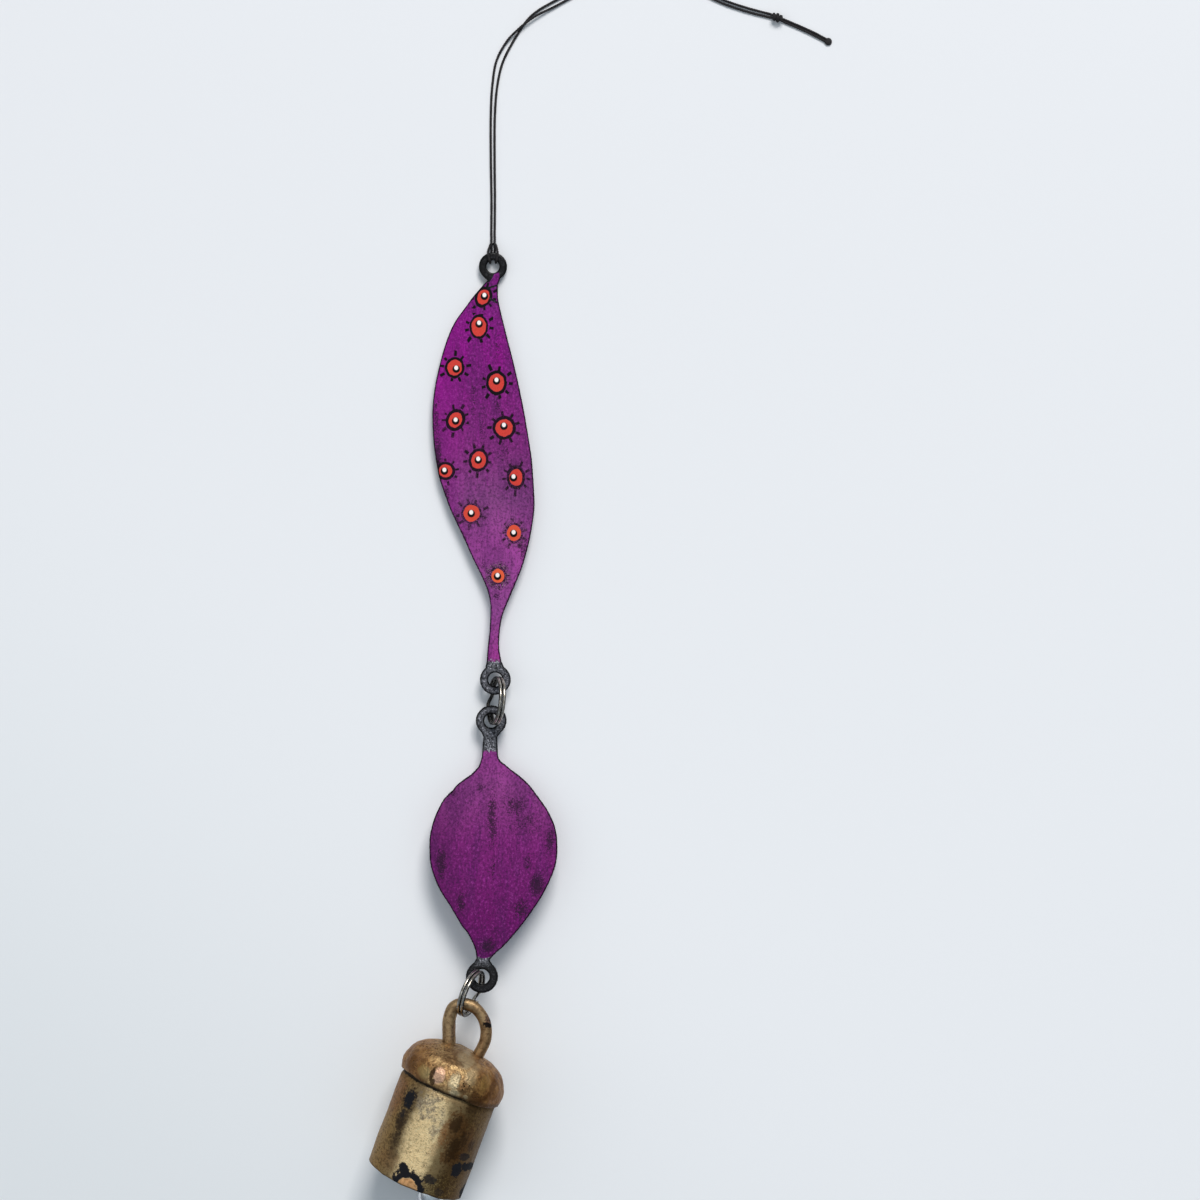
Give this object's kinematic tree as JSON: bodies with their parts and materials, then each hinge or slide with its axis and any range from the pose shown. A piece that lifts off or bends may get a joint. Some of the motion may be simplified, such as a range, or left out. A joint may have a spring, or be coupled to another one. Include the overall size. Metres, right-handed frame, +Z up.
{
  "type": "metal leaf wind chime",
  "caption": "Hanging chime: flat metal leaves joined by split rings, with a small brass bell and clapper below and a doubled cord loop above.",
  "frame": {"origin": "on the table under the middle of the leaves, rings and bell, with the cord left out", "axes": "+X to the right as seen from above, +Y along the chain towards the cord, +Z up from the table"},
  "size_m": [0.1471, 0.3919, 0.0335],
  "materials": {
    "cord": "thin twisted black cord",
    "upper_leaf_paint": "worn purple paint with black edges and rayed dots",
    "lower_leaf_paint": "worn purple paint with black edges",
    "ring_steel": "plated steel wire, slightly dulled",
    "bell_brass": "aged brass with dark patches",
    "cap_brass": "hammered and pitted aged brass",
    "bail_brass": "brown tarnished brass",
    "iron_wire": "plain iron wire",
    "bob_steel": "bright metal"
  },
  "bodies": {
    "cord": {"cord_hitch": "cord", "cord_strand_left": "cord", "cord_strand_right": "cord", "cord_end_knot": "cord", "cord_tail": "cord"},
    "upper_leaf": {"upper_leaf": "upper_leaf_paint"},
    "middle_ring": {"middle_split_ring": "ring_steel"},
    "lower_leaf": {"lower_leaf": "lower_leaf_paint"},
    "lower_ring": {"lower_split_ring": "ring_steel"},
    "bell": {"bell_body": "bell_brass", "bell_cap": "cap_brass", "bell_bail": "bail_brass", "clapper_staple": "iron_wire"},
    "clapper": {"clapper_hook": "iron_wire", "clapper_bob": "bob_steel"}
  },
  "joints": [
    {"name": "upper_leaf_swing", "type": "hinge", "parent": "cord", "child": "upper_leaf", "pos_m": [0.00898, 0.14734, 0.00198], "axis": [0, 0, 1], "range_deg": [-90, 90]},
    {"name": "middle_ring_swing", "type": "hinge", "parent": "upper_leaf", "child": "middle_ring", "pos_m": [0.00979, 0.01546, 0.00449], "axis": [0, 0, 1], "range_deg": [-90, 90]},
    {"name": "lower_leaf_tilt", "type": "hinge", "parent": "middle_ring", "child": "lower_leaf", "pos_m": [0.01013, 0.00884, 0.00773], "axis": [-0.9517, 0.0933, 0.2924], "range_deg": [-35, 90]},
    {"name": "lower_ring_swing", "type": "hinge", "parent": "lower_leaf", "child": "lower_ring", "pos_m": [0.00583, -0.07833, 0.01264], "axis": [0, 0, 1], "range_deg": [-60, 60]},
    {"name": "bell_tilt", "type": "hinge", "parent": "lower_ring", "child": "bell", "pos_m": [0.00253, -0.08304, 0.01722], "axis": [-0.8937, 0.3253, -0.309], "range_deg": [-60, 90]},
    {"name": "clapper_swing", "type": "hinge", "parent": "bell", "child": "clapper", "pos_m": [-0.00226, -0.10715, 0.01683], "axis": [0.6878, -0.282, 0.6689], "range_deg": [-29, 3]}
  ]
}
